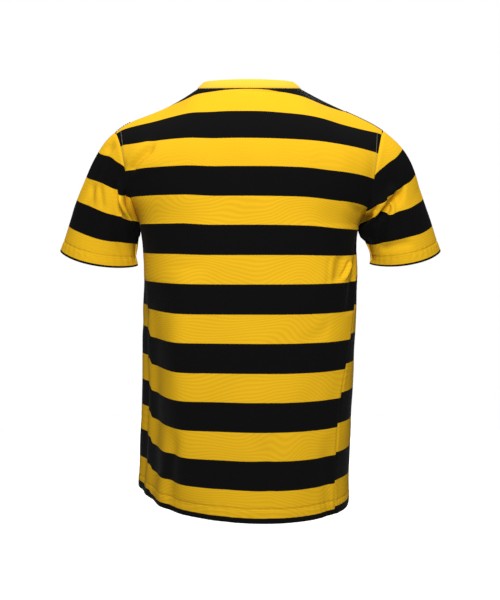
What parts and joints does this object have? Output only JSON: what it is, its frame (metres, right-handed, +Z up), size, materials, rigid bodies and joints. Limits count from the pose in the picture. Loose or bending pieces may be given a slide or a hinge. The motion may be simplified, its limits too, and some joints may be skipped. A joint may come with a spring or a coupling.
{
  "type": "sports jersey",
  "caption": "Short-sleeved crew-neck knit sports jersey in yellow and black hoops, in its worn form with nobody inside, open at the neck, cuffs and hem.",
  "frame": {"origin": "the middle of the neck, level with the inner ends of the shoulder seams, where the wearer's neck and shoulders hold the garment", "axes": "+X to the right as seen from behind, +Y from the back towards the chest, +Z up"},
  "size_m": [0.6915, 0.275, 0.7468],
  "materials": {
    "hooped_knit": "matt polyester knit in yellow and black hoops",
    "neck_rib": "matt yellow rib knit"
  },
  "bodies": {
    "root": {"back": "hooped_knit", "front": "hooped_knit", "sleeve_left": "hooped_knit", "sleeve_right": "hooped_knit", "collar": "neck_rib"}
  },
  "joints": []
}
